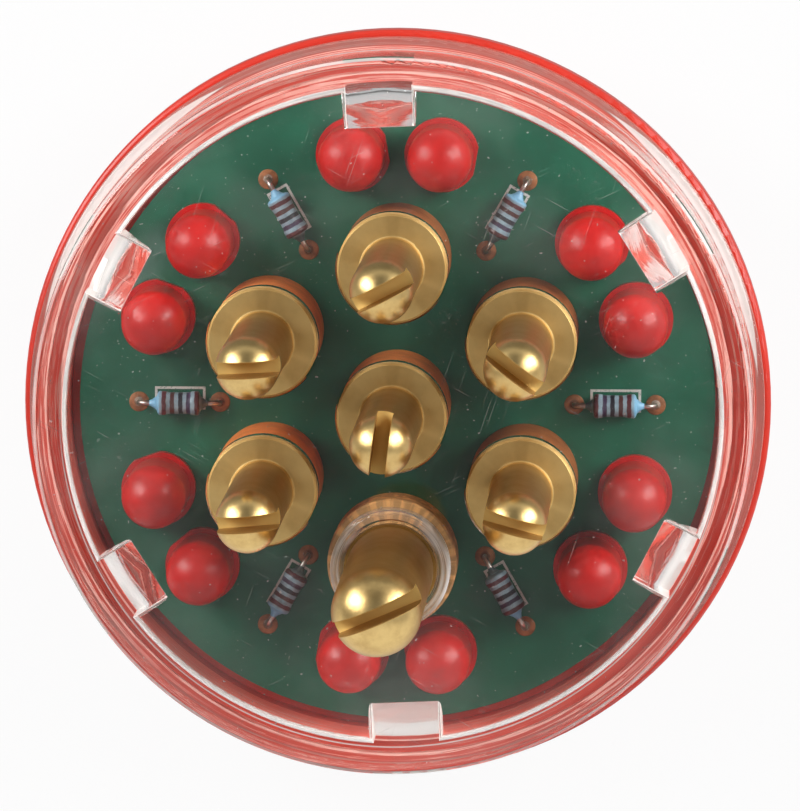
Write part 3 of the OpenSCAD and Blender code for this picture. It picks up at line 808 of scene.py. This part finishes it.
class TESTER_OT_pins(bpy.types.Operator):
    """Give the seven contact pins turned brass"""

    bl_idname = "tester.pins"
    bl_label = "Brass pins"

    # The small pins whose brass under the plate is painted lighter, as painted light on their shaded sides,
    # and by how much
    PAINTED_LIGHT_UNDER_PLATE = {"pin_upper_left": 2.4, "pin_lower_left": 2.4, "pin_center": 2.4}
    # How many times the painted sheen spokes' noise changes over one radian of the flange
    SHEEN_SPOKES = 7

    def execute(self, context):
        own = context.scene.tester_brass
        for node, (turn, depth) in SLOTS.items():
            dress(node, self.turned_brass(own, node, math.radians(turn), depth))
        return {"FINISHED"}

    def turned_brass(self, own, node, slot_turn, slot_depth):
        """Brass with turning marks, which are noise over distance from the pin's axis and height.

        It is brown under the plate, partly tarnish and partly painted shade, tarnished along the shaft, and
        matt on the sawn faces of the slot. The slot's sides are painted darker and its floor lighter, as shade
        and light; sheen is painted in fans on the flat tops, and shade on the rounded edges.
        """
        brass = Finish("turned_brass_" + node)
        centre = box_middle(node)
        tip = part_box(node)[1].z / MM
        place = brass.place((centre.x, centre.y, 0))
        x, y, z = brass.parts(place)
        radius = (x * x + y * y) ** 0.5
        hidden = z.soft(PLATE_UNDER + 0.6, PLATE_UNDER - 0.1)
        shaft = z.soft(PLATE_FACE + 0.5, PLATE_FACE + 1.0) * z.soft(tip - 1.0, tip - 3.0)
        flat = z.soft(PLATE_FACE + 0.6, PLATE_FACE + 0.4)
        rounded = abs(z - PLATE_FACE - SHOULDER_PROUD).soft(0.005, 0.03) * flat
        slot_across = abs(y * math.cos(slot_turn) - x * math.sin(slot_turn))
        above_slot = z - tip + slot_depth
        sawn = (slot_across - SLOT_WIDTH / 2).soft(0.05, 0.02) * above_slot.soft(-0.1, -0.03)
        lit_slot_floor = sawn * above_slot.soft(0.25, 0.1)
        marks = brass.noise(brass.join(radius, z), own.groove / MM, 2.0, 0.6)
        cloud = brass.noise(place, 2.2, 4.0, 0.6)
        spots = brass.noise(place, 0.5, 3.0, 0.6).soft(0.62, 0.78)
        # Painted sheen: fan-shaped lighter and darker sectors on the flat tops, where turning marks would
        # spread the light
        fan_sheen = brass.noise(brass.join(x / radius * 1.7, y / radius * 1.7), 1.0, 2.0).soft(0.4, 0.62)
        tarnish_and_sheen = (cloud.soft(0.35, 0.75) * 0.6 + spots * 0.25) * (1 - flat * 0.6) + flat * fan_sheen * 0.3
        colour = brass.mix(tarnish_and_sheen, own.bright, own.tarnish_and_sheen)
        # The handled shaft's colour on the shaft, and on the rounded edges of the shoulder and root as painted
        # shade that dims their highlights
        colour = brass.mix((shaft * 0.85).high(rounded * 0.55), colour, own.shaft)
        # Painted shade on the slot's sides and painted light on its floor
        colour = brass.mix(sawn, colour, own.sawn)
        colour = brass.mix(lit_slot_floor, colour, own.lit_slot_floor)
        if node == "ground_pin":
            below = self.flange(own, brass, x / radius, y / radius, z)
        else:
            # Painted light lifts the shaded brass of some small pins
            dark = shade(own.hidden, self.PAINTED_LIGHT_UNDER_PLATE.get(node, 1.0))
            below = brass.mix(cloud.soft(0.3, 0.7), dark, shade(dark, 1.3))
        # Under the plate the brass takes the darker colour: partly tarnish, partly painted shade
        colour = brass.mix(hidden, colour, below)
        rough = (0.24 + marks * 0.08 + cloud * 0.1 + spots * 0.12 + flat * 0.12 + rounded * 0.3 + shaft * 0.12
                 + hidden * 0.05 + sawn * 0.15)
        dents = brass.noise(place, 0.9, 2.0) * 0.02
        hollow = slot_across * slot_across * lit_slot_floor * 0.4
        shader = brass.principled(
            colour, Metallic=1 - hidden * 0.6 - sawn * 0.3, Roughness=rough.low(0.65),
            Normal=brass.bump(marks * 0.004 + dents + hollow, 1.0))
        return brass.done(shader)

    def flange(self, own, brass, x, y, z):
        """Colour of the ground pin under the plate: bright and dull spokes from noise over the turn, painted
        streaks of sheen.
        """
        spokes = brass.noise(brass.join(x * self.SHEEN_SPOKES, y * self.SHEEN_SPOKES, z), 1.0, 2.0).soft(0.45, 0.62)
        return brass.mix(spokes, own.flange, shade(own.flange, 1.7))


class TESTER_OT_lamps(bpy.types.Operator):
    """Give the twelve lamps red diffused epoxy"""

    bl_idname = "tester.lamps"
    bl_label = "Red lamps"

    def execute(self, context):
        own = context.scene.tester_lamps
        epoxy = Finish("red_epoxy")
        place = epoxy.place()
        cloud = epoxy.noise(place, 2.0, 2.0)
        colour = epoxy.mix(cloud.soft(0.3, 0.7), shade(own.colour, 0.8), own.colour)
        depth = own.glow_depth
        shader = epoxy.principled(
            colour, Roughness=0.28 + cloud * 0.1, Coat_Weight=0.1, Specular_IOR_Level=0.35,
            Subsurface_Weight=0.25, Subsurface_Radius=(depth, depth * 0.1, depth * 0.08),
            Subsurface_Scale=1.0, Normal=epoxy.bump(cloud, 0.01))
        material = epoxy.done(shader)
        for node in LAMPS:
            dress(node, material)
        return {"FINISHED"}


class TESTER_OT_resistors(bpy.types.Operator):
    """Replace the resistor bodies by waisted ones with colour bands"""

    bl_idname = "tester.resistors"
    bl_label = "Banded resistors"

    STEPS = 60
    SKIRT_STEPS = 8
    SEGMENTS = 40
    # Place along the body from its inner end, half width and colour of each band
    BANDS = [
        (0.07, 0.055, (0.075, 0.012, 0.016)),
        (0.27, 0.05, (0.04, 0.022, 0.06)),
        (0.45, 0.05, (0.012, 0.012, 0.022)),
        (0.64, 0.05, (0.07, 0.02, 0.018)),
        (0.83, 0.05, (0.09, 0.016, 0.024)),
    ]
    # Bodies whose bands run the other way
    TURNED_ROUND = ["resistor_4"]
    # Along half a body, as shares: where the waist ends, how sharply, and where the rounded end starts
    WAIST_END = 0.55
    WAIST_SHARPNESS = 22
    ROUND_FROM = 0.86
    # Radius where a skirt starts, as a share of the cap radius
    SKIRT_SHARE = 0.62

    def execute(self, context):
        own = context.scene.tester_resistors
        material = self.banded_lacquer(own)
        profile = self.profile(own)
        points = lathe_points(profile, self.SEGMENTS)
        share = np.repeat(profile[:, 1] / own.length + 0.5, self.SEGMENTS)
        faces = grid_faces(len(profile), self.SEGMENTS)
        for node in RESISTORS:
            middle = box_middle(node)
            turn = math.atan2(middle.y, middle.x)
            lay = Matrix.Rotation(turn, 3, "Z") @ Matrix.Rotation(math.pi / 2, 3, "Y")
            placed = points @ np.array(lay).T + np.array(middle)
            piece = make_piece(node + "_body", placed, faces, material, [node])
            add_values(piece, "outward", share)
            add_values(piece, "along", 1 - share if node in self.TURNED_ROUND else share)
        return {"FINISHED"}

    def profile(self, own):
        """Radius along the body: full at both caps and less at the waist, with shoulders rounded by a cosine.

        At both ends a skirt of lacquer runs out in a hollow cone to the lead.
        """
        place = np.sin(np.linspace(-1, 1, self.STEPS) * math.pi / 2)
        waist = 1 / (1 + np.exp((np.abs(place) - self.WAIST_END) * self.WAIST_SHARPNESS))
        radius = own.cap_radius - (own.cap_radius - own.waist_radius) * waist
        end = np.clip((np.abs(place) - self.ROUND_FROM) / (1 - self.ROUND_FROM), 0, 1)
        skirt_radius = own.cap_radius * self.SKIRT_SHARE
        radius = skirt_radius + (radius - skirt_radius) * np.cos(end * math.pi / 2) ** 0.6
        body = np.stack([radius, place * own.length / 2], -1)
        out = np.linspace(0, 1, self.SKIRT_STEPS)[1:]
        cone = own.lead_radius + (skirt_radius - own.lead_radius) * (1 - out) ** 1.5
        skirt = np.stack([cone, own.length / 2 + out * own.skirt], -1)
        tip = np.array([[ON_AXIS, own.length / 2 + own.skirt]])
        upper = np.concatenate([skirt, tip])
        return np.concatenate([upper[::-1] * (1, -1), body, upper])

    def banded_lacquer(self, own):
        """Pale blue lacquer with five painted bands at their places along the body."""
        skin = Finish("banded_lacquer")
        along = skin.node("ShaderNodeAttribute", {"attribute_name": "along"}, out="Fac")
        outward = skin.node("ShaderNodeAttribute", {"attribute_name": "outward"}, out="Fac")
        place = skin.place()
        wobble = (skin.noise(place, 0.5, 2.0) - 0.5) * 0.04
        cloud = skin.noise(place, 0.8, 2.0)
        colour = skin.mix(cloud.soft(0.3, 0.7), shade(own.body, 0.8), shade(own.body, 1.2))
        colour = skin.mix(outward.soft(0.88, 0.98), colour, own.outer_end)
        colour = skin.mix(outward.soft(0.03, -0.06), colour, own.inner_end)
        for centre, half, paint in self.BANDS:
            band = abs(along + wobble - centre).soft(half * 1.2, half * 0.8)
            colour = skin.mix(band, colour, paint)
        shader = skin.principled(
            colour, Roughness=0.3 + cloud * 0.15, Coat_Weight=0.3, Normal=skin.bump(cloud, 0.03))
        return skin.done(shader)


class TESTER_OT_stage(bpy.types.Operator):
    """Add the floor, the room light, two softboxes and the camera"""

    bl_idname = "tester.stage"
    bl_label = "Stage"

    PICTURE_WIDTH = 800
    SENSOR = 36.0
    WHITE_SHARE = 0.94
    # Azimuth and angle from the vertical in degrees, then distance, width and height of each softbox in metres
    SOFTBOXES = [(150.0, 62.0, 0.5, 0.22, 0.36), (27.0, 66.0, 0.5, 0.24, 0.4)]
    # Point on the axis that the softboxes face, in metres
    AIM = Vector((0, 0, 0.02))
    # Radius of the floor and how far it lies under the object, in metres, and the corners of its outline
    FLOOR_RADIUS = 2.0
    FLOOR_DROP = 0.0002
    FLOOR_SIDES = 64
    # How far the camera stands to the right of and above the board's middle, in millimetres
    PICTURE_SHIFT = (0.2, -0.25)

    def execute(self, context):
        own = context.scene.tester_stage
        context.scene.view_settings.view_transform = "Standard"
        self.floor(own)
        self.room(own, context.scene)
        for i, box in enumerate(self.SOFTBOXES):
            self.softbox("softbox_%d" % (i + 1), own, *box)
        self.camera(own, context.scene)
        return {"FINISHED"}

    def floor(self, own):
        """A round floor that the camera sees as plain white. In mirrors only its near side is bright."""
        rim = np.arange(self.FLOOR_SIDES) * 2 * np.pi / self.FLOOR_SIDES
        depth = np.full(self.FLOOR_SIDES, -self.FLOOR_DROP)
        points = np.stack([self.FLOOR_RADIUS * np.cos(rim), self.FLOOR_RADIUS * np.sin(rim), depth], -1)
        mesh = bpy.data.meshes.new("floor")
        mesh.from_pydata(points.tolist(), [], [list(range(self.FLOOR_SIDES))])
        sheet = Finish("white_floor")
        place = sheet.place()
        x, y, _ = sheet.parts(place)
        cloud = sheet.noise(place, 60.0, 2.0)
        paper = sheet.principled(sheet.mix(cloud, (0.86, 0.86, 0.86), (0.9, 0.9, 0.9)), Roughness=0.7)
        camera = sheet.light_paths("Is Camera Ray")
        through = sheet.light_paths("Is Transmission Ray")
        mirror = sheet.light_paths("Is Glossy Ray", "Is Transmission Ray")
        lit = y.soft(60.0, -60.0).high((x * x + y * y).soft(150.0 ** 2, 40.0 ** 2) * (0.1 + through * 0.5))
        seen = own.far_side + (own.near_side - own.far_side) * lit
        level = seen + camera * (1 - seen)
        white = sheet.node("ShaderNodeEmission", None, {"Color": level, "Strength": 1.0})
        shader = sheet.blend(camera.high(mirror) * self.WHITE_SHARE, paper, white)
        mesh.materials.append(sheet.done(shader))
        floor = bpy.data.objects.new("floor", mesh)
        bpy.context.scene.collection.objects.link(floor)

    def room(self, own, scene):
        """Even room light; in mirrors the room is bright on the near side and dim on the far side."""
        world = bpy.data.worlds.new("room")
        scene.world = world
        world.use_nodes = True
        room = Nodes(world.node_tree)
        _, y, z = room.parts(room.node("ShaderNodeTexCoord", out="Generated"))
        near = y.soft(-0.05, -0.5)
        seen = own.far_side + near * (own.near_side - own.far_side) + z.soft(0.75, 1.0) * own.overhead
        seen = seen + y.soft(0.2, 0.6) * z.soft(0.55, 0.25) * own.horizon
        mirror = room.light_paths("Is Camera Ray", "Is Glossy Ray", "Is Transmission Ray")
        level = own.ambient + mirror * (seen - own.ambient)
        air = room.node("ShaderNodeBackground", None, {"Color": (1, 1, 1, 1), "Strength": level})
        room.node("ShaderNodeOutputWorld", None, {"Surface": air})

    def softbox(self, name, own, azimuth, lean, distance, width, height):
        """An area lamp that faces the object, with its radiance set by its power."""
        lamp = bpy.data.lights.new(name, "AREA")
        lamp.shape = "RECTANGLE"
        lamp.size = width
        lamp.size_y = height
        lamp.energy = own.softbox * math.pi * width * height
        holder = bpy.data.objects.new(name, lamp)
        out = Vector((
            math.sin(math.radians(lean)) * math.cos(math.radians(azimuth)),
            math.sin(math.radians(lean)) * math.sin(math.radians(azimuth)),
            math.cos(math.radians(lean))))
        holder.location = self.AIM + out * distance
        holder.rotation_euler = out.to_track_quat("Z", "Y").to_euler()
        bpy.context.scene.collection.objects.link(holder)

    def camera(self, own, scene):
        """The camera looks down on the turned object, at a given distance from the board's middle."""
        turn = Matrix.Rotation(own.yaw, 3, "Y") @ Matrix.Rotation(own.roll, 3, "Z")
        back = (Matrix.Rotation(own.pitch, 3, "X") @ turn).transposed()
        right, up = self.PICTURE_SHIFT
        offset = Vector((right * MM, up * MM, own.distance))
        eye = bpy.data.cameras.new("camera")
        eye.sensor_fit = "HORIZONTAL"
        eye.sensor_width = self.SENSOR
        eye.lens = own.focal_px / self.PICTURE_WIDTH * self.SENSOR
        eye.clip_end = 10
        holder = bpy.data.objects.new("camera", eye)
        middle = Vector((0, 0, BOARD_TOP * MM))
        holder.matrix_world = Matrix.Translation(back @ offset + middle) @ back.to_4x4()
        scene.collection.objects.link(holder)
        scene.camera = holder


class TESTER_PT_panel(bpy.types.Panel):
    """Lists the pieces of the tester and their settings"""

    bl_idname = "TESTER_PT_panel"
    bl_label = "Cable tester"
    bl_space_type = "VIEW_3D"
    bl_region_type = "UI"
    bl_category = "Tester"

    def draw(self, context):
        for operator, settings in ROWS:
            box = self.layout.box()
            box.operator(operator.bl_idname)
            if settings:
                group = getattr(context.scene, settings)
                for key in group.__annotations__:
                    box.prop(group, key)


ROWS = [
    (TESTER_OT_base, "tester_base"),
    (TESTER_OT_cover, "tester_cover"),
    (TESTER_OT_board, "tester_board"),
    (TESTER_OT_copper_and_solder, None),
    (TESTER_OT_pins, "tester_brass"),
    (TESTER_OT_lamps, "tester_lamps"),
    (TESTER_OT_resistors, "tester_resistors"),
    (TESTER_OT_stage, "tester_stage"),
]
GROUPS = {
    "tester_base": BaseSettings,
    "tester_cover": CoverSettings,
    "tester_board": BoardSettings,
    "tester_brass": BrassSettings,
    "tester_lamps": LampSettings,
    "tester_resistors": ResistorSettings,
    "tester_stage": StageSettings,
}


def register():
    for name, group in GROUPS.items():
        bpy.utils.register_class(group)
        setattr(bpy.types.Scene, name, PointerProperty(type=group))
    for operator, _ in ROWS:
        bpy.utils.register_class(operator)
    bpy.utils.register_class(TESTER_PT_panel)


def unregister():
    bpy.utils.unregister_class(TESTER_PT_panel)
    for operator, _ in ROWS:
        bpy.utils.unregister_class(operator)
    for name, group in GROUPS.items():
        delattr(bpy.types.Scene, name)
        bpy.utils.unregister_class(group)


def main():
    register()
    for operator, _ in ROWS:
        area, name = operator.bl_idname.split(".")
        getattr(getattr(bpy.ops, area), name)()


if __name__ == "__main__":
    main()
